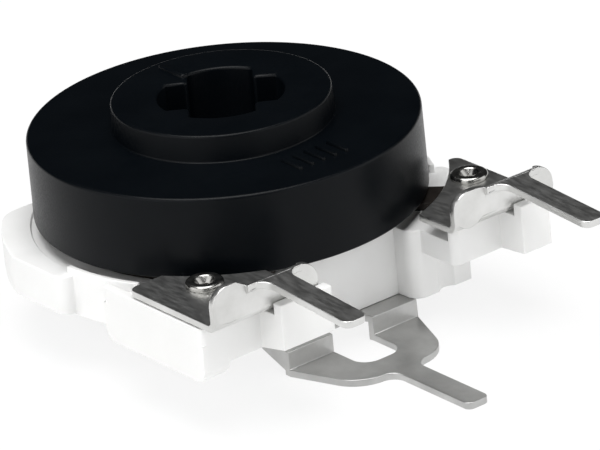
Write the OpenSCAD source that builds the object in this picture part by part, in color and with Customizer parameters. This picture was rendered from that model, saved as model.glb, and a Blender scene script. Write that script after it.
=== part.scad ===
// Carbon trimmer potentiometer for upright mounting, drawn lying on its underside.
// Z is the rotor's axis, the solder pins point along -Y, and Z = 0 is the plane it rests on.
// The pins stand on a 10 mm by 5 mm grid. All lengths are millimetres.

/* [Rotor wheel] */
// Outside diameter of the rotor wheel
rotor_d = 13.4; // [12.9:0.1:13.4]
// Height of the wheel's rim
rotor_h = 2.85; // [2.6:0.05:4]
// Thickness of the wheel's rim wall
rotor_wall = 0.5; // [0.4:0.05:0.6]
// Thickness of the wheel's top
rotor_top_t = 0.85; // [0.6:0.05:1]
// Diameter of the raised boss on top
boss_d = 7.5; // [6.5:0.1:9]
// Height of the raised boss
boss_h = 0.95; // [0.4:0.05:2]
// Across the rounded ends of the cross recess
recess_d = 4.3; // [3.6:0.1:4.8]
// Width of each arm of the cross recess
recess_arm_w = 2.2; // [1.8:0.1:2.5]
// Depth of the cross recess
recess_depth = 2.5; // [1.5:0.1:3]
// Direction of the first recess arm, in degrees
recess_angle = -36; // [-45:1:45]
// Diameter of the rotor's shaft
shaft_d = 4.0; // [3.6:0.1:4.2]
// Diameter of the through bore for a setting spindle
spindle_d = 2.4; // [1.6:0.1:2.8]
// Length of the pointer rib on the boss
pointer_len = 1.4; // [0.8:0.1:1.5]
// Width of the pointer rib
pointer_w = 0.28; // [0.2:0.02:0.5]
// How far the raised marks stand up
mark_h = 0.1; // [0.05:0.01:0.2]

/* [Travel] */
// Total mechanical travel between the stops, in degrees
travel = 265; // [200:5:280]
// Half the angle that the rotor's stop lug takes up, in degrees
lug_half_angle = 16; // [10:1:25]
// Angle left between lug and stop post at each limit, in degrees
stop_gap_angle = 1; // [0.5:0.5:3]

/* [Base] */
// Width of the base across its two sides
base_w = 15; // [14.8:0.1:16]
// Height from the base's underside to its deck
base_h = 2.5; // [2.2:0.1:4]
// Height of the rim section, from its underside to the deck
rim_h = 1.35; // [1:0.05:1.8]
// Radius of the round body under the deck
body_r = 6.0; // [5.6:0.1:6.3]
// Half the width of that body, between its two side flats
body_half_w = 4.9; // [4.6:0.1:5.2]
// Distance from the axis to the front wall
front_y = 5.4; // [5:0.1:5.6]
// Distance from the axis to the front of the corner blocks
block_y = 8.1; // [7.9:0.1:8.3]
// Distance from the axis to the back of the corner blocks
block_back_y = 2.7; // [2.4:0.1:3.2]
// Thickness of the corner blocks below the deck
block_t = 0.85; // [0.6:0.05:1.2]
// Width of the left foot, which stands the part off a circuit board
foot_left_w = 2.1; // [1.4:0.1:2.1]
// Width of the right foot
foot_right_w = 1.2; // [1:0.1:1.7]
// Thickness of the two low walls beside the wheel's foot
rim_wall = 0.2; // [0.15:0.05:0.4]
// Gap between the wheel and those walls
rim_gap = 0.15; // [0.15:0.05:0.3]
// How far the tops of those walls stay below the wheel's foot
wall_drop = 0.12; // [0:0.02:0.3]
// Outer radius of the side lugs
side_lug_r = 7.85; // [7.4:0.05:8]
// Distance from the axis to the back end of the side lugs
side_lug_y = 5.5; // [4:0.1:6]

/* [Resistance element] */
// Thickness of the insulating board
board_t = 0.3; // [0.2:0.05:0.6]
// Clear width of the deck between the board and the walls beside the wheel
board_margin = 0.9; // [0.85:0.05:1.2]
// Inner radius of the board
board_r_in = 4.25; // [4.2:0.05:4.5]
// Radius of the board's two ears
ear_r = 0.85; // [0.75:0.05:0.85]

/* [Terminals] */
// Distance between the two outer pins
pin_pitch = 10; // [9.8:0.1:10.2]
// Distance from the row of outer pins to the wiper pin
row_pitch = 5; // [4.8:0.1:5.4]
// Width of a solder pin
pin_w = 0.9; // [0.7:0.05:1.2]
// Thickness of the terminal sheet
sheet_t = 0.25; // [0.2:0.01:0.3]
// Distance from the axis to the tips of the outer pins
tip_y = 13.2; // [12:0.05:15]
// Distance from the axis to the tip of the wiper pin
wiper_tip_y = 12.65; // [12:0.05:15]
// Lean of the outer pins towards the wiper pin, in degrees
pin_lean = 3.7; // [0:0.1:5]
// Distance from the axis to the upright flange's front face
flange_y = 8.86; // [8.8:0.02:9]
// Reach of the terminal to the left of its pin
terminal_left = 2.45; // [2:0.05:2.5]
// Reach of the terminal's flange to the right of its pin
terminal_right = 1.8; // [1.5:0.05:1.9]
// Reach of the terminal's plate to the right of its pin
plate_right = 1.45; // [1.2:0.05:1.5]
// Height of the terminal's plate above the resistance board
plate_lift = 0.35; // [0.3:0.05:0.5]
// Clearance between the plates and the wheel
plate_gap = 0.7; // [0.4:0.05:0.75]
// Height of the wiper terminal's step
step_h = 0.65; // [0.6:0.01:0.9]
// Half the width of the wiper terminal at its step
wiper_half_w = 2.75; // [2.45:0.05:2.9]
// Distance from the axis to the front of the wiper terminal's lower plate
wiper_front_y = 8.8; // [8.8:0.05:9.4]

/* [Rivets and collector] */
// Sideways distance from the axis to each rivet
rivet_x = 5.6; // [5.5:0.05:5.7]
// Forward distance from the axis to each rivet
rivet_y = 5.9; // [5.8:0.05:6.2]
// Diameter of a rivet's shank
rivet_d = 0.85; // [0.7:0.05:1]
// Diameter of a rivet's rolled head
rivet_head_d = 1.3; // [1.2:0.05:1.4]
// Wall of the collector eyelet's tube
eyelet_wall = 0.25; // [0.2:0.05:0.3]
// Radius of the collector eyelet's flanges
eyelet_flange_r = 3.3; // [3:0.1:3.4]

/* [Hidden] */
$fn = 96;
eps = 0.01;
clear = 0.05;          // general working clearance
turn_gap = 0.08;       // radial running clearance of the rotor's shaft
deck_gap = 0.15;       // wheel rim to resistance board

collector_z = step_h;
base_z = collector_z + sheet_t;
deck_z = base_z + base_h;
board_top = deck_z + board_t;
plate_z = board_top + plate_lift;
plate_top = plate_z + sheet_t;
rim_z = deck_z - rim_h;
block_z = deck_z - block_t;
rotor_z = board_top + deck_gap;
ceiling_z = rotor_z + rotor_h - rotor_top_t;
rotor_top = rotor_z + rotor_h;
boss_top = rotor_top + boss_h;

rotor_r = rotor_d / 2;
rim_r_in = rotor_r + rim_gap;
rim_r = rim_r_in + rim_wall;
board_r = rim_r_in - board_margin;
side_x = base_w / 2;
shaft_r = shaft_d / 2;
recess_floor = boss_top - recess_depth;
hub_r = recess_d / 2 + 0.85;

eyelet_r_in = shaft_r + turn_gap;
eyelet_r = eyelet_r_in + eyelet_wall;
eyelet_flange_t = 0.2;
keeper_t = 0.22;
keeper_r = shaft_r + 0.8;
keeper_z = collector_z - eyelet_flange_t - clear - keeper_t;
shaft_end_z = keeper_z - 0.06;
keeper_bite = 0.03;    // the push-on ring grips the shaft by this much

bend_r = 0.15;         // inside radius of the sheet's bends
pin_x = pin_pitch / 2;
pin_run = tip_y - flange_y;
pin_rise = tan(pin_lean) * pin_run / 2;
lip_left = 1.1;        // how far the bent-out top of a flange reaches to the left of its pin
pin_top = row_pitch + pin_rise + sheet_t;
tip_r = 0.3;
root_r = 0.5;          // fillet where a pin leaves its flange
flange_right_drop = 0.1;  // how far the flange's right corner stays below the pin
flange_wall_h = pin_top - plate_top - bend_r - flange_right_drop - 0.02;
flange_left_r = min(0.65, flange_wall_h);  // top corners of the flange
flange_right_r = min(0.65, flange_wall_h);
ear_top_w = 1.0;       // width of the flange's raised corner
foot_y = 9.3;
foot_lip = 0.1;        // how far a foot rises in front of its flange, above the plate
leg_w = 1.05;
kerb_w = 0.3;
kerb_h = plate_z - clear - deck_z;  // up to just below the terminal's plate

stop_r_in = eyelet_flange_r + 0.15;
stop_r = board_r_in - 0.15;
post_half_angle = 180 - travel / 2 - lug_half_angle - stop_gap_angle;
lug_h = 0.95;
spring_t = 0.12;
spring_r = hub_r;
finger_w = 0.55;
finger_slot = 0.16;
track_r = (board_r + board_r_in) / 2;

// A flat ring sector of less than half a turn that starts at height z
module sector(r_in, r_out, from, to, z, h) {
    translate([0, 0, z])
        rotate([0, 0, from])
            rotate_extrude(angle = to - from)
                translate([r_in, 0])
                    square([r_out - r_in, h]);
}

// A ring with a full turn that starts at height z
module ring(r_in, r_out, z, h) {
    translate([0, 0, z])
        difference() {
            cylinder(r = r_out, h = h);
            translate([0, 0, -eps])
                cylinder(r = r_in, h = h + 2 * eps);
        }
}

// A rectangle whose four corners are arcs, from (x0, y0) to (x1, y1)
module round_rect(x0, y0, x1, y1, r) {
    translate([x0 + r, y0])
        square([x1 - x0 - 2 * r, y1 - y0]);
    translate([x0, y0 + r])
        square([x1 - x0, y1 - y0 - 2 * r]);
    for (x = [x0 + r, x1 - r])
        for (y = [y0 + r, y1 - r])
            translate([x, y])
                circle(r = r);
}

// A straight-sided block from one corner to the other
module block(from, to) {
    translate(from)
        cube(to - from);
}

module both_sides() {
    children();
    mirror([1, 0, 0])
        children();
}

// ---- base ----

// Round body under the deck with a flat front and flat sides, and the wider disc of the deck
module base_body() {
    intersection() {
        translate([0, 0, base_z])
            cylinder(r = body_r, h = base_h);
        block([-body_half_w, -front_y, 0], [body_half_w, body_r, deck_z]);
    }
    intersection() {
        translate([0, 0, rim_z])
            cylinder(r = rim_r, h = rim_h);
        block([-side_x, -front_y, 0], [side_x, side_x, deck_z]);
    }
}

// Two low walls beside the wheel's foot, between the side lugs and the corner blocks, that leave a
// gap open under the wheel
module base_walls() {
    wall_from = -26;
    wall_to = -1;
    both_sides()
        sector(rim_r_in, rim_r, wall_from, wall_to, deck_z - eps, rotor_z - wall_drop - deck_z + eps);
}

// Side lug: a curved lobe that fills the base out to its width, with a rounded back corner
module side_lug() {
    front_r = 0.45;
    back_r = 1.1;
    lug_x = 4;
    lug_lift = 0.08;
    lug_rise = 0.1;
    back = [sqrt(pow(side_lug_r - back_r, 2) - pow(side_lug_y - back_r, 2)), side_lug_y - back_r];
    slope = back[1] / back[0];
    translate([0, 0, rim_z + lug_lift])
        linear_extrude(rim_h - lug_lift + lug_rise)
            difference() {
                intersection() {
                    circle(r = side_lug_r);
                    union() {
                        polygon([[lug_x, 0], [side_x, 0], [side_x, side_x * slope], [lug_x, lug_x * slope]]);
                        translate([lug_x, 0])
                            square([back[0] - lug_x, side_lug_y]);
                        translate(back)
                            circle(r = back_r);
                        translate([side_x - front_r, 0])
                            circle(r = front_r);
                        translate([lug_x, -front_r])
                            square([side_x - front_r - lug_x, 2 * front_r]);
                    }
                }
                circle(r = rim_r_in);
            }
}

// Corner block under one terminal, from x0 to x1, with a kerb along its front and its outer side that
// ends at kerb_back_y
module corner_block(x0, x1, kerb_at, kerb_back_y) {
    translate([0, 0, block_z])
        linear_extrude(block_t)
            round_rect(x0, -block_y, x1, -block_back_y, 0.3);
    translate([0, 0, block_z])
        linear_extrude(block_t + kerb_h)
            difference() {
                round_rect(x0, -block_y, x1, -block_back_y, 0.3);
                translate([x0 - kerb_at * kerb_w, -block_y + kerb_w])
                    square([x1 - x0, block_y - block_back_y]);
                translate([x0 - kerb_w, -kerb_back_y])
                    square([x1 - x0 + 2 * kerb_w, kerb_back_y]);
            }
}

// Foot that meets the circuit board, in section: its underside rises to its face, and its lip stands
// in front of the terminal's flange
module foot(x0, x1, rise) {
    lip_gap = 0.04;
    under_plate = plate_z - 0.08;
    translate([x0, 0, 0])
        rotate([90, 0, 90])
            linear_extrude(x1 - x0)
                polygon([[-block_y + 0.5, block_z], [-block_y, block_z], [-foot_y, block_z + rise],
                         [-foot_y, plate_top + foot_lip], [-flange_y - lip_gap, plate_top + foot_lip],
                         [-flange_y - lip_gap, under_plate], [-block_y, under_plate],
                         [-block_y + 0.5, deck_z]]);
}

// Outer wall of the left corner block, with rounded toes along its length and a rounded inner edge
module left_leg() {
    toe_r = 0.5;
    inner_r = 0.4;
    intersection() {
        translate([-side_x, 0, 0])
            rotate([90, 0, 90])
                linear_extrude(leg_w)
                    union() {
                        translate([-block_y, rim_z + toe_r])
                            square([block_y - block_back_y, rim_h - toe_r]);
                        translate([-block_y + toe_r, rim_z])
                            square([block_y - block_back_y - 2 * toe_r, toe_r + eps]);
                        translate([-block_y + toe_r, rim_z + toe_r])
                            circle(r = toe_r);
                        translate([-block_back_y - toe_r, rim_z + toe_r])
                            circle(r = toe_r);
                    }
        rotate([90, 0, 0])
            linear_extrude(block_y + 1)
                union() {
                    translate([-side_x, rim_z + inner_r])
                        square([leg_w, rim_h]);
                    translate([-side_x, rim_z])
                        square([leg_w - inner_r, rim_h]);
                    translate([-side_x + leg_w - inner_r, rim_z + inner_r])
                        circle(r = inner_r);
                }
    }
}

// Column beside the front wall, with an upright groove and a gate mark near its foot
module front_column() {
    x0 = 2.6;
    x1 = 5;
    y = 6.35;
    corner_r = 0.5;
    groove_r = 0.42;
    groove_x = x0 + 0.56 * (x1 - x0);
    difference() {
        translate([0, 0, base_z])
            linear_extrude(base_h)
                union() {
                    translate([x0, -y + corner_r])
                        square([x1 - x0, y - corner_r - 3]);
                    translate([x0 + corner_r, -y])
                        square([x1 - x0 - corner_r, y - 3]);
                    translate([x0 + corner_r, -y + corner_r])
                        circle(r = corner_r);
                }
        translate([groove_x, -y - 0.25, base_z - eps])
            cylinder(r = groove_r, h = base_h - block_t + eps);
        translate([groove_x - 0.55, -y - eps, base_z + 0.45])
            rotate([-90, 0, 0])
                cylinder(r = 0.11, h = 0.2, $fn = 24);
    }
}

// Post that the rotor's lug runs up against at both ends of its travel
module stop_post() {
    sector(stop_r_in, stop_r, -90 - post_half_angle, -90 + post_half_angle, deck_z - eps,
        ceiling_z - 0.2 - deck_z);
}

// Two pips that level the base on its underside
module rear_feet() {
    pip_r = 0.7;
    both_sides()
        translate([3, 3.5, 0])
            cylinder(r = pip_r, h = base_z + eps);
}

// Two shallow moulding pockets in the back of the underside
module underside_pockets() {
    depth = 1.1;
    arc = 40;
    for (from = [90 - arc - 8, 90 + 8])
        sector(eyelet_flange_r + 0.5, body_r - 0.8, from, from + arc, base_z - eps, depth);
}

module base() {
    color("white")
        difference() {
            union() {
                base_body();
                base_walls();
                both_sides()
                    side_lug();
                corner_block(-side_x, -3, -1, block_back_y - 1);
                corner_block(3, pin_x + terminal_right + 0.1, 1, block_back_y + 1.3);
                foot(-pin_x - 0.12, -pin_x - 0.12 + foot_left_w, 0.25);
                foot(pin_x, pin_x + foot_right_w, 0.12);
                left_leg();
                front_column();
                stop_post();
                rear_feet();
            }
            translate([0, 0, -eps])
                cylinder(r = eyelet_r, h = boss_top);
            both_sides()
                translate([rivet_x, -rivet_y, 0])
                    cylinder(r = rivet_d / 2, h = boss_top);
            underside_pockets();
        }
}

// ---- rotor ----

// Cross recess: two crossed arms whose ends are rounded off by a circle
module cross_recess() {
    translate([0, 0, recess_floor])
        intersection() {
            cylinder(r = recess_d / 2, h = recess_depth + eps);
            rotate([0, 0, recess_angle])
                union() {
                    block([-recess_d, -recess_arm_w / 2, 0], [recess_d, recess_arm_w / 2, recess_depth + 1]);
                    block([-recess_arm_w / 2, -recess_d, 0], [recess_arm_w / 2, recess_d, recess_depth + 1]);
                }
        }
}

// Pointer rib on the boss, and a row of plain ticks on the wheel's top
module raised_marks() {
    tick_count = 5;
    tick_len = 1.1;
    tick_w = 0.14;
    tick_pitch = 0.48;
    tick_y = 4.95;
    translate([-pointer_w / 2, recess_d / 2 - 0.2, boss_top - eps])
        cube([pointer_w, pointer_len, mark_h + eps]);
    for (i = [0 : tick_count - 1])
        translate([(i - (tick_count - 1) / 2) * tick_pitch, -tick_y, rotor_top - eps])
            translate([-tick_w / 2, -tick_len / 2, 0])
                cube([tick_w, tick_len, mark_h + eps]);
}

// The wheel in section: top, rim, boss and hub in one closed outline
module wheel_profile() {
    hub_z = ceiling_z - 1.1;
    translate([rotor_r - rotor_wall, rotor_z])
        square([rotor_wall, rotor_h]);
    translate([0, ceiling_z])
        square([rotor_r, rotor_top_t]);
    translate([0, rotor_top - eps])
        square([boss_d / 2, boss_h + eps]);
    translate([0, hub_z])
        square([hub_r, ceiling_z - hub_z + eps]);
    translate([0, shaft_end_z])
        square([shaft_r, hub_z - shaft_end_z + eps]);
}

module rotor() {
    color([0.08, 0.08, 0.09])
        difference() {
            union() {
                rotate_extrude()
                    wheel_profile();
                sector(stop_r_in, stop_r, 90 - lug_half_angle, 90 + lug_half_angle, ceiling_z - lug_h,
                    lug_h + eps);
                raised_marks();
            }
            cross_recess();
            translate([0, 0, -eps])
                cylinder(r = spindle_d / 2, h = boss_top);
        }
}

// ---- resistance element ----

module resistance_element() {
    gap_half_angle = 24;
    gap_x = 2 * board_r * sin(gap_half_angle);
    gap_y = -2 * board_r * cos(gap_half_angle);
    ear_neck_w = 1.6 * ear_r;
    neck_start = board_r_in + 0.4;
    color([0.32, 0.2, 0.12])
        translate([0, 0, deck_z])
            linear_extrude(board_t)
                difference() {
                    union() {
                        circle(r = board_r);
                        both_sides() {
                            translate([rivet_x, -rivet_y])
                                circle(r = ear_r);
                            rotate([0, 0, -atan2(rivet_y, rivet_x)])
                                translate([neck_start, -ear_neck_w / 2])
                                    square([norm([rivet_x, rivet_y]) - neck_start, ear_neck_w]);
                        }
                    }
                    circle(r = board_r_in);
                    polygon([[0, 0], [-gap_x, gap_y], [gap_x, gap_y]]);
                    both_sides()
                        translate([rivet_x, -rivet_y])
                            circle(r = rivet_d / 2);
                }
}

// ---- outer terminals ----

// A quarter of a bent sheet, centred on the bend and running along X from x0 to x1
module bend(x0, x1, y, z, turn) {
    translate([x0, y, z])
        rotate([90, 0, 90])
            linear_extrude(x1 - x0)
                intersection() {
                    difference() {
                        circle(r = bend_r + sheet_t);
                        circle(r = bend_r);
                    }
                    rotate([0, 0, turn])
                        square(2 * (bend_r + sheet_t));
                }
}

// The plate above the corner block, cut away around the wheel
module terminal_plate(pin_at) {
    x0 = pin_at - terminal_left;
    back_y = 4.2;
    wide_y = flange_y - 1;
    translate([0, 0, plate_z])
        linear_extrude(sheet_t)
            difference() {
                union() {
                    round_rect(x0, -wide_y, pin_at + plate_right, -back_y, 0.3);
                    translate([x0, -flange_y + sheet_t + bend_r])
                        square([terminal_left + terminal_right, flange_y - wide_y]);
                }
                circle(r = rotor_r + plate_gap);
                translate([sign(pin_at) * rivet_x, -rivet_y])
                    circle(r = rivet_d / 2);
            }
}

// The upright flange, seen from the front: a left corner that may stand higher, a rounded right
// corner, and a gap where its top bends out
module terminal_flange(pin_at, ear_rise) {
    x0 = pin_at - terminal_left;
    x1 = pin_at + terminal_right;
    z0 = plate_top + bend_r;
    ear_top = pin_top + ear_rise;
    translate([0, -flange_y + sheet_t, 0])
        rotate([90, 0, 0])
            linear_extrude(sheet_t)
                difference() {
                    union() {
                        translate([x0, z0])
                            square([flange_left_r, pin_top - flange_left_r - z0]);
                        translate([x0, pin_top - flange_left_r - eps])
                            square([flange_left_r, ear_rise + eps]);
                        translate([x0 + flange_left_r, ear_top - flange_left_r])
                            circle(r = flange_left_r);
                        translate([x0 + flange_left_r, z0])
                            square([x1 - x0 - flange_left_r - flange_right_r,
                                    pin_top - flange_right_drop - z0]);
                        translate([x0 + flange_left_r, pin_top - flange_left_r])
                            square([terminal_left - lip_left - flange_left_r + eps, flange_left_r]);
                        polygon([[x0 + flange_left_r, pin_top - eps], [x0 + flange_left_r, ear_top],
                                 [x0 + ear_top_w, ear_top], [pin_at - lip_left, pin_top - eps]]);
                        translate([x1 - flange_right_r, z0])
                            square([flange_right_r, pin_top - flange_right_drop - flange_right_r - z0]);
                        translate([x1 - flange_right_r, pin_top - flange_right_drop - flange_right_r])
                            circle(r = flange_right_r);
                    }
                    translate([pin_at - lip_left, pin_top - bend_r - sheet_t])
                        square([lip_left + terminal_right - flange_right_r, 1]);
                }
}

// A pin's outline seen from above, from its root at y = 0 to its rounded tip, with root fillets
module pin_outline(len, r) {
    translate([-pin_w / 2, -len + r])
        square([pin_w, len - r]);
    translate([-pin_w / 2 + r, -len])
        square([pin_w - 2 * r, r + eps]);
    for (side = [-1, 1])
        translate([side * (pin_w / 2 - r), -len + r])
            circle(r = r);
    for (side = [-1, 1])
        difference() {
            translate([side * (pin_w / 2 + root_r / 2) - root_r / 2, -root_r])
                square([root_r, root_r]);
            translate([side * (pin_w / 2 + root_r), -root_r])
                circle(r = root_r);
        }
}

module terminal_pin(pin_at) {
    lap = 0.03;
    root_y = -flange_y - bend_r + lap;
    translate([pin_at, root_y, pin_top - sheet_t])
        rotate([pin_lean, 0, 0])
            linear_extrude(sheet_t)
                pin_outline((pin_run - bend_r + lap) / cos(pin_lean), tip_r);
}

module outer_terminal(pin_at, ear_rise) {
    x0 = pin_at - terminal_left;
    x1 = pin_at + terminal_right;
    color([0.78, 0.78, 0.76]) {
        terminal_plate(pin_at);
        bend(x0, x1, -flange_y + sheet_t + bend_r, plate_top + bend_r, 180);
        terminal_flange(pin_at, ear_rise);
        bend(pin_at - lip_left, x1 - flange_right_r, -flange_y - bend_r, pin_top - sheet_t - bend_r, 0);
        terminal_pin(pin_at);
    }
}

module terminal_left() {
    outer_terminal(-pin_x, 0.2);
}

module terminal_right() {
    outer_terminal(pin_x, 0.05);
}

// ---- rivets ----

// Tubular rivet in section: a rolled head on the plate, a collar that holds the plate up off the
// board, a shank, and a rolled foot under the block
module tubular_rivet(x) {
    head_t = 0.2;
    foot_t = 0.18;
    bore_r = 0.2;
    rim_r = head_t / 2;
    head_r = rivet_head_d / 2;
    color([0.82, 0.82, 0.8])
        translate([x, -rivet_y, 0])
            rotate_extrude()
                difference() {
                    union() {
                        translate([bore_r, block_z - foot_t])
                            square([rivet_d / 2 - bore_r, plate_top - block_z + foot_t + rim_r]);
                        translate([bore_r, board_top])
                            square([head_r - bore_r, plate_lift]);
                        translate([bore_r, plate_top])
                            square([head_r - bore_r - rim_r, head_t]);
                        translate([head_r - rim_r, plate_top + rim_r])
                            circle(r = rim_r, $fn = 32);
                        translate([bore_r, block_z - foot_t])
                            square([head_r - bore_r, foot_t]);
                    }
                    translate([bore_r, plate_top + head_t])
                        circle(r = 0.12, $fn = 32);
                }
}

module rivet_left() {
    tubular_rivet(-rivet_x);
}

module rivet_right() {
    tubular_rivet(rivet_x);
}

// ---- wiper terminal ----

// Where the straight line from point p touches a circle on the line's right-hand side
function tangent_point(p, centre, r) =
    let (v = centre - p, d = norm(v), a = atan2(v[1], v[0]) + asin(r / d))
    p + sqrt(d * d - r * r) * [cos(a), sin(a)];

// The lower plate from above: sides that draw in from the step to two large round corners
module wiper_plate(step_y) {
    corner_r = 1.4;
    shoulder = [wiper_half_w, -step_y];
    corner = [0.8, -wiper_front_y + corner_r];
    touch = tangent_point(shoulder, corner, corner_r);
    both_sides()
        union() {
            polygon([[0, -step_y], shoulder, touch, corner, [corner[0], -wiper_front_y],
                     [0, -wiper_front_y]]);
            translate(corner)
                circle(r = corner_r);
        }
}

// Ring under the base with a neck that steps down, and a lower plate with a slot and the wiper pin
module wiper_terminal() {
    step_y = 6.15;
    slot_w = 1.7;
    slot_front = 7.75;
    slot_back = 5.5;
    slot_end_r = 0.6;
    pin_root_r = 0.25;
    color([0.78, 0.78, 0.76])
        difference() {
            union() {
                translate([0, 0, collector_z])
                    linear_extrude(sheet_t)
                        union() {
                            circle(r = eyelet_flange_r + 0.1);
                            translate([-wiper_half_w, -step_y + sheet_t])
                                square([2 * wiper_half_w, step_y - sheet_t]);
                        }
                block([-wiper_half_w, -step_y, 0], [wiper_half_w, -step_y + sheet_t, collector_z + sheet_t]);
                both_sides()
                    wiper_gusset(step_y);
                linear_extrude(sheet_t)
                    union() {
                        wiper_plate(step_y);
                        translate([0, -wiper_front_y + eps])
                            pin_outline(wiper_tip_y - wiper_front_y, pin_root_r);
                    }
            }
            translate([0, 0, -eps])
                cylinder(r = eyelet_r, h = base_z + 1);
            translate([0, 0, -eps])
                linear_extrude(base_z + 1)
                    round_rect(-slot_w / 2, -slot_front, slot_w / 2, -slot_back, slot_end_r);
        }
}

// Turned-down edge of the neck: a triangle that stiffens the step
module wiper_gusset(step_y) {
    reach = 1.6;
    translate([wiper_half_w - sheet_t, 0, 0])
        rotate([90, 0, 90])
            linear_extrude(sheet_t)
                polygon([[-step_y + sheet_t / 2, sheet_t / 2], [-step_y + reach, collector_z],
                         [-step_y + reach, collector_z + sheet_t / 2],
                         [-step_y + sheet_t / 2, collector_z + sheet_t / 2]]);
}

// ---- centre pieces ----

// Eyelet that joins the wiper terminal to the collector track and carries the rotor's shaft
module collector_eyelet() {
    foot_z = collector_z - eyelet_flange_t;
    color([0.85, 0.72, 0.4]) {
        ring(eyelet_r_in, eyelet_r, foot_z, deck_z + eyelet_flange_t - foot_z);
        ring(eyelet_r_in, eyelet_flange_r, deck_z, eyelet_flange_t);
        ring(eyelet_r_in, eyelet_flange_r - 0.3, foot_z, eyelet_flange_t);
    }
}

// A bent strip of spring sheet: points are (distance out, height), run along the local X axis
module spring_strip(points, w) {
    for (i = [0 : len(points) - 2]) {
        run = points[i + 1] - points[i];
        translate([points[i][0], 0, points[i][1]])
            rotate([0, -atan2(run[1], run[0]), 0])
                translate([0, -w / 2, 0])
                    cube([norm(run), w, spring_t]);
    }
}

// Contact spring under the rotor: a ring on the shaft, two fingers on the track, two on the collector
module wiper_spring() {
    ring_top = ceiling_z - 1.1;
    ring_z = ring_top - spring_t;
    tip_z = board_top + clear;
    collector_tip = deck_z + eyelet_flange_t + clear;
    tip_reach = (rotor_r - rotor_wall - track_r) / 2;
    finger = [[spring_r - 0.5, ring_z], [spring_r + 0.6, ring_z - 0.1], [track_r - 0.15, tip_z],
              [track_r + 0.15, tip_z], [track_r + tip_reach, tip_z + 0.3]];
    inner = [[0, ring_z], [0.9, collector_tip], [1.15, collector_tip], [1.4, collector_tip + 0.2]];
    color([0.8, 0.65, 0.35]) {
        ring(shaft_r + 0.02, spring_r, ring_z, spring_t);
        rotate([0, 0, 90])
            for (side = [-1, 1])
                translate([0, side * (finger_w + finger_slot) / 2, 0])
                    spring_strip(finger, finger_w);
        for (turn = [0, 180])
            rotate([0, 0, turn])
                translate([shaft_r + 0.65, 0, 0])
                    rotate([0, 0, -90])
                        spring_strip(inner, 0.5);
    }
}

// Push-on ring that keeps the rotor's shaft from lifting out
module keeper_ring() {
    color([0.6, 0.6, 0.62])
        ring(shaft_r - keeper_bite, keeper_r, keeper_z, keeper_t);
}

base();
rotor();
resistance_element();
terminal_left();
terminal_right();
rivet_left();
rivet_right();
wiper_terminal();
collector_eyelet();
wiper_spring();
keeper_ring();
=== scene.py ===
import math

import bmesh
import bpy
from mathutils import Matrix, Vector
from mathutils.bvhtree import BVHTree


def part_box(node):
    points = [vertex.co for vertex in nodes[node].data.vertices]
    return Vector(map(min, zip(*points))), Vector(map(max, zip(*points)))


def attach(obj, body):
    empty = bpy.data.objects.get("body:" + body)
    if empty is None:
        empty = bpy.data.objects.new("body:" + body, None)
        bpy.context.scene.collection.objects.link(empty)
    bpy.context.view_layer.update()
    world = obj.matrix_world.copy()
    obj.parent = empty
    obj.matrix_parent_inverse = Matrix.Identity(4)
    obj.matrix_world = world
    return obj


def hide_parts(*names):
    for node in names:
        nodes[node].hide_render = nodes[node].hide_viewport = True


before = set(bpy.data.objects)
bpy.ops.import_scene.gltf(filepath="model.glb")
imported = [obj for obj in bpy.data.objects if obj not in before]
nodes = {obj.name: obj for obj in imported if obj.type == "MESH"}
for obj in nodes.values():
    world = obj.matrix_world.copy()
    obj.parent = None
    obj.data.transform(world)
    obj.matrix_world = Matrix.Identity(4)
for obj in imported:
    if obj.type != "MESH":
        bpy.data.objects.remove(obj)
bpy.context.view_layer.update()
scene = bpy.context.scene
MM = 0.001

# ---- Bench -------------------------------------------------------------------------------------
# A wide sheet of white paper that the part lies on. It looks evenly white to the eye and in
# polished metal, and keeps the part's soft shadow. It isn't part of the object.


def link(made):
    """Put a new object into the scene."""
    scene.collection.objects.link(made)
    return made


def add(tree, kind, settings=(), **inputs):
    """Add a node to a tree, set its properties and then its inputs by name."""
    made = tree.nodes.new(kind)
    for key, value in dict(settings).items():
        setattr(made, key, value)
    for key, value in inputs.items():
        made.inputs[key.replace("_", " ")].default_value = value
    return made


sheet_half = 3.0
paper_mesh = bpy.data.meshes.new("bench")
paper_mesh.from_pydata([(-sheet_half, -sheet_half, 0), (sheet_half, -sheet_half, 0),
                        (sheet_half, sheet_half, 0), (-sheet_half, sheet_half, 0)], [], [(0, 1, 2, 3)])
bench = link(bpy.data.objects.new("bench", paper_mesh))

bench_paper = bpy.data.materials.new("bench_paper")
bench_paper.use_nodes = True
tree = bench_paper.node_tree
tree.nodes.clear()
paper = add(tree, "ShaderNodeBsdfDiffuse", Color=(0.9, 0.9, 0.9, 1))
glow = add(tree, "ShaderNodeEmission", Strength=1.0)
path = add(tree, "ShaderNodeLightPath")
seen_or_mirrored = add(tree, "ShaderNodeMath", {"operation": "MAXIMUM"})
tree.links.new(path.outputs["Is Camera Ray"], seen_or_mirrored.inputs[0])
tree.links.new(path.outputs["Is Glossy Ray"], seen_or_mirrored.inputs[1])
seen_at_all = add(tree, "ShaderNodeMath", {"operation": "MAXIMUM"})
tree.links.new(seen_or_mirrored.outputs[0], seen_at_all.inputs[0])
tree.links.new(path.outputs["Is Transmission Ray"], seen_at_all.inputs[1])
glow_share = add(tree, "ShaderNodeMath", {"operation": "MULTIPLY"})
glow_share.inputs[1].default_value = 0.84
tree.links.new(seen_at_all.outputs[0], glow_share.inputs[0])
paper_mix = add(tree, "ShaderNodeMixShader")
tree.links.new(glow_share.outputs[0], paper_mix.inputs["Fac"])
tree.links.new(paper.outputs[0], paper_mix.inputs[1])
tree.links.new(glow.outputs[0], paper_mix.inputs[2])
paper_out = add(tree, "ShaderNodeOutputMaterial")
tree.links.new(paper_mix.outputs[0], paper_out.inputs["Surface"])
paper_mesh.materials.append(bench_paper)

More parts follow.
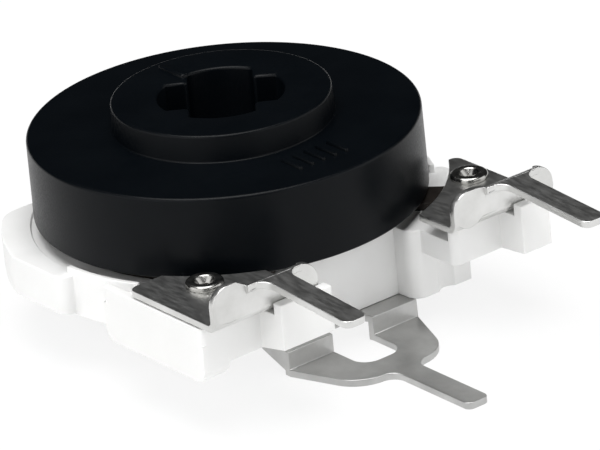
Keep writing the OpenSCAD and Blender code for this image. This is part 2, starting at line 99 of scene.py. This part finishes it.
# ---- Camera ------------------------------------------------------------------------------------
# A long lens at the front left, a quarter of the way up, held a little out of level.

view_azimuth = math.radians(-35.98)
view_elevation = math.radians(23.89)
view_roll = math.radians(-5.67)
view_distance = 200 * MM
aim = Vector((-0.16, -3.97, 3.975)) * MM
level_right = Vector((math.cos(view_azimuth), math.sin(view_azimuth), 0))
back = Vector((math.sin(view_azimuth) * math.cos(view_elevation),
               -math.cos(view_azimuth) * math.cos(view_elevation), math.sin(view_elevation)))
camera_right = math.cos(view_roll) * level_right + math.sin(view_roll) * back.cross(level_right)
camera = link(bpy.data.objects.new("camera", bpy.data.cameras.new("camera")))
camera.data.lens = 361.2
camera.data.sensor_width = 36
camera.data.clip_start = 0.01
camera.location = aim + back * view_distance
camera.rotation_mode = "QUATERNION"
camera_up = back.cross(camera_right)
camera.rotation_quaternion = Matrix((camera_right, camera_up, back)).transposed().to_quaternion()
scene.camera = camera

# ---- Light -------------------------------------------------------------------------------------
# Two wide, low softboxes to the left and the right of the camera, a weak one overhead, and a
# dark room, so that flat black and metal tops stay dark while upright faces are bright.

room = bpy.data.worlds.new("room")
scene.world = room
room.use_nodes = True
room.node_tree.nodes["Background"].inputs["Color"].default_value = (1, 1, 1, 1)
room.node_tree.nodes["Background"].inputs["Strength"].default_value = 0.02
scene.view_settings.view_transform = "Standard"


def softbox(name, azimuth, elevation, distance, width, height, watts):
    """A rectangular lamp that faces the part from a direction given in degrees."""
    lamp = bpy.data.lights.new(name, "AREA")
    lamp.shape = "RECTANGLE"
    lamp.size = width
    lamp.size_y = height
    lamp.energy = watts
    a, e = math.radians(azimuth), math.radians(elevation)
    towards = Vector((math.cos(a) * math.cos(e), math.sin(a) * math.cos(e), math.sin(e)))
    holder = link(bpy.data.objects.new(name, lamp))
    holder.location = towards * distance
    holder.rotation_mode = "QUATERNION"
    holder.rotation_quaternion = towards.to_track_quat("Z", "Y")


softbox("softbox_left", 182, 24, 0.45, 0.7, 0.4, 1.32)
softbox("softbox_right", 300, 19, 0.45, 0.7, 0.4, 1.2)
softbox("softbox_top", 210, 82, 0.6, 0.5, 0.5, 4.4)

# ---- Moulded base ------------------------------------------------------------------------------
# The white body that carries everything: a round deck with two side lobes and two front blocks,
# injection moulded in one shot from glass-filled polyamide. Its edges are slightly round, as the
# mould leaves them, and its skin has a fine even grain.


def softened(node, name, radius, split_hollow=False, segments=3):
    """Copy a CAD node as a new piece whose sharp edges are rounded off to the given radius.

    With split_hollow, flat faces with a hollow outline are first cut into plain ones.
    """
    work = bmesh.new()
    work.from_mesh(nodes[node].data)
    bmesh.ops.remove_doubles(work, verts=work.verts, dist=1e-8)
    for _ in range(2):
        bmesh.ops.dissolve_limit(work, angle_limit=math.radians(1), verts=work.verts, edges=work.edges)
        bmesh.ops.dissolve_degenerate(work, edges=work.edges, dist=0.02 * MM)
    if split_hollow:
        bmesh.ops.connect_verts_concave(work, faces=[f for f in work.faces if len(f.verts) > 4])
    skin = BVHTree.FromBMesh(work)
    corners = [v.co.copy() for v in nodes[node].data.vertices]
    low = [min(c[axis] for c in corners) for axis in range(3)]
    high = [max(c[axis] for c in corners) for axis in range(3)]
    sharp = [e for e in work.edges if e.is_manifold and e.calc_face_angle(0) > math.radians(30)]
    bmesh.ops.bevel(work, geom=sharp, offset=radius, offset_type="OFFSET", segments=segments, profile=0.5,
                    affect="EDGES", clamp_overlap=False)
    for vertex in work.verts:
        nearest, _, _, distance = skin.find_nearest(vertex.co)
        if distance > 0.6 * radius:
            vertex.co = nearest
        vertex.co = [min(max(vertex.co[axis], low[axis]), high[axis]) for axis in range(3)]
    bmesh.ops.recalc_face_normals(work, faces=work.faces)
    return as_piece(work, name)


def as_piece(work, name):
    """Turn a bmesh into an object with smooth shading that keeps its flats flat."""
    mesh = bpy.data.meshes.new(name)
    work.to_mesh(mesh)
    work.free()
    piece = link(bpy.data.objects.new(name, mesh))
    mesh.shade_smooth()
    mesh.set_sharp_from_angle(angle=math.radians(50))
    weigh = piece.modifiers.new("flat_faces", "WEIGHTED_NORMAL")
    weigh.keep_sharp = True
    return settled(piece)


def settled(piece):
    """Apply a piece's modifiers, so that what is left is a plain mesh."""
    evaluated = piece.evaluated_get(bpy.context.evaluated_depsgraph_get())
    finished = bpy.data.meshes.new_from_object(evaluated)
    finished.name = piece.name
    piece.modifiers.clear()
    piece.data = finished
    return piece


def new_finish(name, metallic=0.0, specular=0.5):
    """A material with one Principled shader: returns it with its node tree and that shader."""
    finish = bpy.data.materials.new(name)
    finish.use_nodes = True
    shader = finish.node_tree.nodes["Principled BSDF"]
    shader.inputs["Metallic"].default_value = metallic
    shader.inputs["Specular IOR Level"].default_value = specular
    return finish, finish.node_tree, shader


def noise(tree, size, detail=3.0, stretch=(1, 1, 1)):
    """Noise fixed to the piece, whose patches are about the given size in metres."""
    place = add(tree, "ShaderNodeTexCoord")
    mapping = add(tree, "ShaderNodeMapping", Scale=stretch)
    tree.links.new(place.outputs["Object"], mapping.inputs["Vector"])
    made = add(tree, "ShaderNodeTexNoise", Scale=1 / size, Detail=detail, Roughness=0.55)
    tree.links.new(mapping.outputs["Vector"], made.inputs["Vector"])
    return made.outputs["Fac"]


def blend_colours(tree, amount, low, high, start=0.3, end=0.7):
    """A colour that runs from low to high as the amount runs from start to end."""
    ramp = add(tree, "ShaderNodeValToRGB")
    ramp.color_ramp.elements[0].position = start
    ramp.color_ramp.elements[0].color = (*low, 1)
    ramp.color_ramp.elements[1].position = end
    ramp.color_ramp.elements[1].color = (*high, 1)
    tree.links.new(amount, ramp.inputs["Fac"])
    return ramp.outputs["Color"]


def spread(tree, amount, low, high, start=0.3, end=0.7):
    """A number that runs from low to high as the amount runs from start to end."""
    made = add(tree, "ShaderNodeMapRange", From_Min=start, From_Max=end, To_Min=low, To_Max=high)
    tree.links.new(amount, made.inputs["Value"])
    return made.outputs["Result"]


def texture_skin(tree, shader, height, depth, strength):
    """Raise the surface by a bump of the given depth."""
    bump = add(tree, "ShaderNodeBump", Strength=strength, Distance=depth)
    tree.links.new(height, bump.inputs["Height"])
    tree.links.new(bump.outputs["Normal"], shader.inputs["Normal"])


def dress(piece, finish):
    """Give a piece one finish all over."""
    piece.data.materials.clear()
    piece.data.materials.append(finish)


base = softened("base", "moulded_base", 0.04 * MM, split_hollow=True)
white_polyamide, tree, shader = new_finish("white_polyamide", specular=0.4)
flow = noise(tree, 3.0 * MM, 4.0, (1, 1, 0.5))
white = blend_colours(tree, flow, (0.80, 0.80, 0.79), (0.84, 0.84, 0.835))
tree.links.new(white, shader.inputs["Base Color"])
grain = noise(tree, 0.09 * MM, 4.0)
tree.links.new(spread(tree, grain, 0.42, 0.56), shader.inputs["Roughness"])
texture_skin(tree, shader, grain, 0.006 * MM, 0.5)
dress(base, white_polyamide)
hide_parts("base")
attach(base, "base")

# ---- Resistance element ------------------------------------------------------------------------
# A punched horseshoe of paper-phenolic board, coloured near black, that lies on the deck. A black carbon
# track is printed round it, and its two ears are clamped by the rivets.

board = softened("resistance_element", "resistance_board", 0.03 * MM, segments=2)
printed_board, tree, shader = new_finish("printed_board", specular=0.15)
fibres = noise(tree, 0.25 * MM, 6.0, (1, 3, 1))
board_tone = blend_colours(tree, fibres, (0.012, 0.010, 0.009), (0.026, 0.021, 0.018))
place = add(tree, "ShaderNodeTexCoord")
parts = add(tree, "ShaderNodeSeparateXYZ")
tree.links.new(place.outputs["Object"], parts.inputs[0])
flat = add(tree, "ShaderNodeCombineXYZ")
tree.links.new(parts.outputs["X"], flat.inputs["X"])
tree.links.new(parts.outputs["Y"], flat.inputs["Y"])
radius = add(tree, "ShaderNodeVectorMath", {"operation": "LENGTH"})
tree.links.new(flat.outputs[0], radius.inputs[0])
board_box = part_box("resistance_element")
track_inner, track_outer = 4.45 * MM, 5.75 * MM
inside = spread(tree, radius.outputs["Value"], 0, 1, track_inner, track_inner + 0.03 * MM)
outside = spread(tree, radius.outputs["Value"], 1, 0, track_outer, track_outer + 0.03 * MM)
on_top = spread(tree, parts.outputs["Z"], 0, 1, board_box[1].z - 0.05 * MM, board_box[1].z - 0.04 * MM)
ring = add(tree, "ShaderNodeMath", {"operation": "MULTIPLY"})
tree.links.new(inside, ring.inputs[0])
tree.links.new(outside, ring.inputs[1])
printed = add(tree, "ShaderNodeMath", {"operation": "MULTIPLY"})
tree.links.new(ring.outputs[0], printed.inputs[0])
tree.links.new(on_top, printed.inputs[1])
carbon = blend_colours(tree, noise(tree, 0.06 * MM), (0.006, 0.006, 0.006), (0.02, 0.02, 0.02))
with_track = add(tree, "ShaderNodeMix", {"data_type": "RGBA"})
tree.links.new(printed.outputs[0], with_track.inputs["Factor"])
tree.links.new(board_tone, with_track.inputs[6])
tree.links.new(carbon, with_track.inputs[7])
tree.links.new(with_track.outputs[2], shader.inputs["Base Color"])
tree.links.new(spread(tree, fibres, 0.45, 0.65), shader.inputs["Roughness"])
texture_skin(tree, shader, fibres, 0.008 * MM, 0.5)
dress(board, printed_board)
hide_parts("resistance_element")
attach(board, "base")

# ---- Solder terminals --------------------------------------------------------------------------
# Three stampings from quarter-millimetre tinned brass sheet. The outer two lie on the front blocks
# and turn up into a flange and a pin; the wiper's runs under the base and steps down to its pin.

left_terminal = softened("terminal_left", "terminal_left_sheet", 0.03 * MM)
right_terminal = softened("terminal_right", "terminal_right_sheet", 0.03 * MM)
wiper_terminal = softened("wiper_terminal", "wiper_terminal_sheet", 0.03 * MM)


def tinned_sheet(name, low, high):
    """A finish for tinned sheet: blotchy tin that keeps the lines it was rolled with."""
    finish, tree, shader = new_finish(name, metallic=1.0)
    blotches = noise(tree, 1.4 * MM, 5.0)
    tree.links.new(blend_colours(tree, blotches, low, high), shader.inputs["Base Color"])
    rolling = noise(tree, 0.12 * MM, 4.0, (1, 0.2, 1))
    tree.links.new(spread(tree, rolling, 0.28, 0.38), shader.inputs["Roughness"])
    texture_skin(tree, shader, rolling, 0.0025 * MM, 0.5)
    return finish


bright_tin = tinned_sheet("bright_tin", (0.62, 0.62, 0.605), (0.78, 0.78, 0.77))
# The wiper terminal's tin is the same tin coloured darker: painted shade, standing in for the shade and
# dark reflections on it.
tin_with_painted_shade = tinned_sheet("tin_with_painted_shade", (0.41, 0.41, 0.405), (0.56, 0.56, 0.55))
for terminal, node, finish in ((left_terminal, "terminal_left", bright_tin),
                               (right_terminal, "terminal_right", bright_tin),
                               (wiper_terminal, "wiper_terminal", tin_with_painted_shade)):
    dress(terminal, finish)
    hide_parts(node)
    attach(terminal, "base")

# ---- Rivets ------------------------------------------------------------------------------------
# Two tubular rivets of nickelled brass clamp plate, board and block together. Each is one turned
# tube with a collar under the plate, rolled over to a ring on top and flared below.


def turned(corners, steps, centre=(0, 0)):
    """Turn a closed outline about an upright axis.

    Its corners are (radius, height, corner radius), and all lengths are in mm.
    """
    outline = []
    for i, (r, z, fillet) in enumerate(corners):
        here = Vector((r, z))
        before = (Vector(corners[i - 1][:2]) - here).normalized()
        after = (Vector(corners[(i + 1) % len(corners)][:2]) - here).normalized()
        half = before.angle(after) / 2
        if fillet == 0:
            outline.append(here)
            continue
        middle = here + (before + after).normalized() * fillet / math.sin(half)
        start = here + before * fillet / math.tan(half) - middle
        end = here + after * fillet / math.tan(half) - middle
        arc_steps = 5
        for k in range(arc_steps + 1):
            outline.append(middle + start.slerp(end, k / arc_steps).normalized() * fillet)
    work = bmesh.new()
    rings = []
    for k in range(steps):
        a = 2 * math.pi * k / steps
        rings.append([work.verts.new(((centre[0] + p.x * math.cos(a)) * MM,
                                      (centre[1] + p.x * math.sin(a)) * MM, p.y * MM)) for p in outline])
    for k, ring_here in enumerate(rings):
        ring_next = rings[(k + 1) % steps]
        for i in range(len(outline)):
            j = (i + 1) % len(outline)
            work.faces.new((ring_here[i], ring_next[i], ring_next[j], ring_here[j]))
    bmesh.ops.recalc_face_normals(work, faces=work.faces)
    return work


def row_tree():
    """Geometry Nodes that repeat a mesh along X: its inputs are the count, the pitch and the finish."""
    made = bpy.data.node_groups.new("row_of_parts", "GeometryNodeTree")
    face = made.interface
    face.new_socket("Part", in_out="INPUT", socket_type="NodeSocketGeometry")
    face.new_socket("Count", in_out="INPUT", socket_type="NodeSocketInt")
    face.new_socket("Pitch", in_out="INPUT", socket_type="NodeSocketFloat")
    face.new_socket("Finish", in_out="INPUT", socket_type="NodeSocketMaterial")
    face.new_socket("Row", in_out="OUTPUT", socket_type="NodeSocketGeometry")
    taken = add(made, "NodeGroupInput")
    given = add(made, "NodeGroupOutput")
    offset = add(made, "ShaderNodeCombineXYZ")
    line = add(made, "GeometryNodeMeshLine")
    instances = add(made, "GeometryNodeInstanceOnPoints")
    realized = add(made, "GeometryNodeRealizeInstances")
    finished = add(made, "GeometryNodeSetMaterial")
    made.links.new(taken.outputs["Pitch"], offset.inputs["X"])
    made.links.new(offset.outputs[0], line.inputs["Offset"])
    made.links.new(taken.outputs["Count"], line.inputs["Count"])
    made.links.new(line.outputs["Mesh"], instances.inputs["Points"])
    made.links.new(taken.outputs["Part"], instances.inputs["Instance"])
    made.links.new(instances.outputs["Instances"], realized.inputs["Geometry"])
    made.links.new(realized.outputs["Geometry"], finished.inputs["Geometry"])
    made.links.new(taken.outputs["Finish"], finished.inputs["Material"])
    made.links.new(finished.outputs["Geometry"], given.inputs["Row"])
    return made


row_of_parts = row_tree()


def repeated(piece, count, pitch, finish):
    """Repeat a piece along X with the row tree and settle it to a plain mesh."""
    step = piece.modifiers.new("row", "NODES")
    step.node_group = row_of_parts
    sockets = {item.name: item.identifier for item in row_of_parts.interface.items_tree}
    step[sockets["Count"]] = count
    step[sockets["Pitch"]] = pitch
    step[sockets["Finish"]] = finish
    return settled(piece)


rivet_metal, tree, shader = new_finish("rivet_with_painted_shade", metallic=1.0)
scuffs = noise(tree, 0.3 * MM, 5.0)
# The rivet metal is coloured darker than nickel: painted shade, so that only its glints stay bright.
rivet_painted_shade_colour = blend_colours(tree, scuffs, (0.34, 0.335, 0.32), (0.46, 0.455, 0.44))
tree.links.new(rivet_painted_shade_colour, shader.inputs["Base Color"])
tree.links.new(spread(tree, scuffs, 0.16, 0.28), shader.inputs["Roughness"])
texture_skin(tree, shader, noise(tree, 0.05 * MM), 0.002 * MM, 0.5)

rivet_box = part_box("rivet_left")
rivet_centre = ((rivet_box[0] + rivet_box[1]) / (2 * MM)).xy
head_r = (rivet_box[1].x - rivet_box[0].x) / (2 * MM)
foot_z, head_z = rivet_box[0].z / MM, rivet_box[1].z / MM
hole_r, shank_r, flare_t = 0.2, 0.425, 0.18
plate_top_z = head_z - 0.2
plate_foot_z = plate_top_z - 0.25
board_top_z = plate_foot_z - 0.35
rivet = as_piece(turned([
    (hole_r, foot_z, 0), (head_r, foot_z, 0.04), (head_r, foot_z + flare_t, 0.03),
    (shank_r, foot_z + flare_t, 0), (shank_r, board_top_z, 0), (head_r, board_top_z, 0.03),
    (head_r, plate_foot_z, 0.03), (shank_r, plate_foot_z, 0), (shank_r, plate_top_z, 0),
    (head_r, plate_top_z, 0.03), (head_r, head_z, 0.12), (0.36, head_z, 0.1), (hole_r, head_z - 0.22, 0.05),
], 64, rivet_centre), "rivets")
rivet_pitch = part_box("rivet_right")[0].x - rivet_box[0].x
rivets = repeated(rivet, 2, rivet_pitch, rivet_metal)
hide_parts("rivet_left", "rivet_right")
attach(rivets, "base")

# ---- Collector eyelet --------------------------------------------------------------------------
# A brass eyelet rolled over in the base's bore. It joins the wiper terminal's ring to the contact
# spring and is the bearing that the rotor's shaft turns in.

eyelet = softened("collector_eyelet", "collector_eyelet_turned", 0.04 * MM)
eyelet_brass, tree, shader = new_finish("eyelet_brass", metallic=1.0)
tarnish = noise(tree, 0.8 * MM, 5.0)
brass = blend_colours(tree, tarnish, (0.52, 0.38, 0.17), (0.70, 0.54, 0.26))
tree.links.new(brass, shader.inputs["Base Color"])
lathe_lines = noise(tree, 0.1 * MM, 3.0, (0.2, 0.2, 1))
tree.links.new(spread(tree, lathe_lines, 0.25, 0.4), shader.inputs["Roughness"])
texture_skin(tree, shader, lathe_lines, 0.003 * MM, 0.4)
dress(eyelet, eyelet_brass)
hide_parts("collector_eyelet")
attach(eyelet, "base")

# ---- Contact spring ----------------------------------------------------------------------------
# A stamped phosphor-bronze spring on the rotor's shaft. Two fingers wipe the carbon track, and two
# shorter ones rest on the collector's flange.

spring_bronze, tree, shader = new_finish("spring_bronze", metallic=1.0)
heat_tint = noise(tree, 0.6 * MM, 4.0)
bronze = blend_colours(tree, heat_tint, (0.50, 0.30, 0.14), (0.66, 0.44, 0.22))
tree.links.new(bronze, shader.inputs["Base Color"])
rolled = noise(tree, 0.08 * MM, 3.0, (0.15, 1, 1))
tree.links.new(spread(tree, rolled, 0.25, 0.38), shader.inputs["Roughness"])
texture_skin(tree, shader, rolled, 0.002 * MM, 0.4)
dress(nodes["wiper_spring"], spring_bronze)

# ---- Rotor -------------------------------------------------------------------------------------
# The black thumbwheel, moulded in one piece with its boss, hub and shaft. A cross recess for a
# screwdriver is sunk in the boss, round a bore for a setting spindle; a raised rib is the pointer.

rotor_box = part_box("rotor")
mark_h, boss_h, rim_h, rim_t, top_t, hub_h = 0.1, 0.95, 2.85, 0.5, 0.85, 1.1
wheel_r = rotor_box[1].x / MM
shaft_z = rotor_box[0].z / MM
boss_z = rotor_box[1].z / MM - mark_h
wheel_top_z = boss_z - boss_h
wheel_foot_z = wheel_top_z - rim_h
ceiling_z = wheel_top_z - top_t
hub_z = ceiling_z - hub_h
boss_r, hub_r, shaft_r, bore_r = 3.75, 3.0, 2.0, 1.2
recess_depth, recess_r, recess_half_w, recess_turn = 2.5, 2.15, 1.1, math.radians(-36)

wheel = as_piece(turned([
    (bore_r, shaft_z, 0.05), (shaft_r, shaft_z, 0.1), (shaft_r, hub_z, 0), (hub_r, hub_z, 0.08),
    (hub_r, ceiling_z, 0.12), (wheel_r - rim_t, ceiling_z, 0.2), (wheel_r - rim_t, wheel_foot_z, 0.05),
    (wheel_r, wheel_foot_z, 0.08), (wheel_r - 0.03, wheel_top_z, 0.12), (boss_r + 0.02, wheel_top_z, 0.06),
    (boss_r - 0.02, boss_z, 0.1), (bore_r, boss_z, 0.05),
], 192), "rotor_wheel")


def cross_outline(grow):
    """The recess's outline, in mm: four arms with round ends, and small arcs where they meet."""
    half_w, end_r, corner_r = recess_half_w + grow, recess_r + grow, 0.14
    reach = math.asin(half_w / end_r)
    points = []
    for arm in range(4):
        turn = recess_turn + arm * math.pi / 2
        end_angles = [reach * (k / 6 - 1) for k in range(13)]
        local = [(end_r * math.cos(a), end_r * math.sin(a)) for a in end_angles]
        middle = half_w + corner_r
        for k in range(5):
            a = math.radians(270 - 22.5 * k)
            local.append((middle + corner_r * math.cos(a), middle + corner_r * math.sin(a)))
        points += [(x * math.cos(turn) - y * math.sin(turn), x * math.sin(turn) + y * math.cos(turn))
                   for x, y in local]
    return points


def lofted(levels):
    """A closed solid through outlines with equal numbers of points, from (points, height) pairs in mm."""
    work = bmesh.new()
    rings = [[work.verts.new((x * MM, y * MM, z * MM)) for x, y in points] for points, z in levels]
    for lower, upper in zip(rings, rings[1:]):
        for i in range(len(lower)):
            j = (i + 1) % len(lower)
            work.faces.new((lower[i], lower[j], upper[j], upper[i]))
    work.faces.new(rings[0][::-1])
    work.faces.new(rings[-1])
    return work


def cut_or_join(piece, work, operation):
    """Cut a tool's shape out of a piece, or join it on, and throw the tool away."""
    mesh = bpy.data.meshes.new("tool")
    work.to_mesh(mesh)
    work.free()
    tool = link(bpy.data.objects.new("tool", mesh))
    step = piece.modifiers.new("boolean", "BOOLEAN")
    step.operation = operation
    step.solver = "EXACT"
    step.object = tool
    settled(piece)
    bpy.data.objects.remove(tool)


softened_lip = 0.1
lip_steps = [softened_lip * math.sin(math.radians(90 * k / 4)) for k in range(5)]
recess_levels = [(cross_outline(-0.06), boss_z - recess_depth),
                 (cross_outline(0), boss_z - recess_depth + 0.12)]
recess_levels += [(cross_outline(softened_lip - math.sqrt(max(0, softened_lip ** 2 - step ** 2))),
                   boss_z - softened_lip + step) for step in lip_steps]
recess_levels.append((cross_outline(softened_lip + 0.02), boss_z + 0.5))
cut_or_join(wheel, lofted(recess_levels), "DIFFERENCE")

lug_inner, lug_outer, lug_h, lug_half = 3.45, 4.1, 0.95, math.radians(16)
lug_outline = [(lug_outer * math.sin(lug_half * (k / 8 - 1)), lug_outer * math.cos(lug_half * (k / 8 - 1)))
               for k in range(17)][::-1]
lug_outline += [(lug_inner * math.sin(lug_half * (k / 8 - 1)), lug_inner * math.cos(lug_half * (k / 8 - 1)))
                for k in range(17)]
cut_or_join(wheel, lofted([(lug_outline, ceiling_z - lug_h), (lug_outline, ceiling_z + 0.1)]), "UNION")


def rib(length, width, height, taper, foot, centre, name):
    """A low moulded rib with drafted sides and round edges; sizes in mm."""
    half_w, half_l = width / 2, length / 2
    corners = [(-half_w, -half_l), (half_w, -half_l), (half_w, half_l), (-half_w, half_l)]
    levels = []
    for z, inset in ((foot - 0.02, 0), (foot + height * 0.7, taper * 0.6), (foot + height, taper * 1.6)):
        scale_x, scale_y = 1 - 2 * inset / width, 1 - 2 * inset / length
        levels.append(([(centre[0] + x * scale_x, centre[1] + y * scale_y) for x, y in corners], z))
    work = lofted(levels)
    upright = [e for e in work.edges if abs(e.verts[0].co.z - e.verts[1].co.z) > 0.02 * MM]
    bmesh.ops.bevel(work, geom=upright, offset=width * 0.3 * MM, offset_type="OFFSET", segments=3,
                    profile=0.5, affect="EDGES", clamp_overlap=True)
    return as_piece(work, name)


black_moulding, tree, shader = new_finish("black_moulding", specular=0.12)
mottle = noise(tree, 1.8 * MM, 5.0)
tree.links.new(blend_colours(tree, mottle, (0.0006, 0.0014, 0.0024), (0.0014, 0.0024, 0.0036)),
               shader.inputs["Base Color"])
fine = noise(tree, 0.07 * MM, 4.0)
tree.links.new(spread(tree, fine, 0.28, 0.42), shader.inputs["Roughness"])
texture_skin(tree, shader, fine, 0.004 * MM, 0.5)

pointer_y = recess_r - 0.2 + 0.7
pointer = rib(1.4, 0.28, mark_h, 0.03, boss_z, (0, pointer_y), "pointer_rib")
tick_count, tick_pitch, tick_y = 5, 0.48, -4.95
tick = rib(1.1, 0.14, mark_h, 0.015, wheel_top_z, (-2 * tick_pitch, tick_y), "scale_ticks")
ticks = repeated(tick, tick_count, tick_pitch * MM, black_moulding)
dress(wheel, black_moulding)
dress(pointer, black_moulding)
wheel.data.shade_smooth()
wheel.data.set_sharp_from_angle(angle=math.radians(40))
weigh = wheel.modifiers.new("flat_faces", "WEIGHTED_NORMAL")
weigh.keep_sharp = True
settled(wheel)
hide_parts("rotor")
for moulded in (wheel, pointer, ticks):
    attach(moulded, "rotor")

# ---- Keeper ring -------------------------------------------------------------------------------
# A push-on steel ring that grips the end of the rotor's shaft under the base and keeps the rotor in.

keeper = softened("keeper_ring", "keeper_ring_pressed", 0.04 * MM)
keeper_steel, tree, shader = new_finish("keeper_steel", metallic=1.0)
phosphate = noise(tree, 0.35 * MM, 5.0)
steel = blend_colours(tree, phosphate, (0.28, 0.28, 0.29), (0.42, 0.42, 0.43))
tree.links.new(steel, shader.inputs["Base Color"])
tree.links.new(spread(tree, phosphate, 0.35, 0.5), shader.inputs["Roughness"])
texture_skin(tree, shader, noise(tree, 0.06 * MM), 0.003 * MM, 0.5)
dress(keeper, keeper_steel)
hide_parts("keeper_ring")
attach(keeper, "rotor")
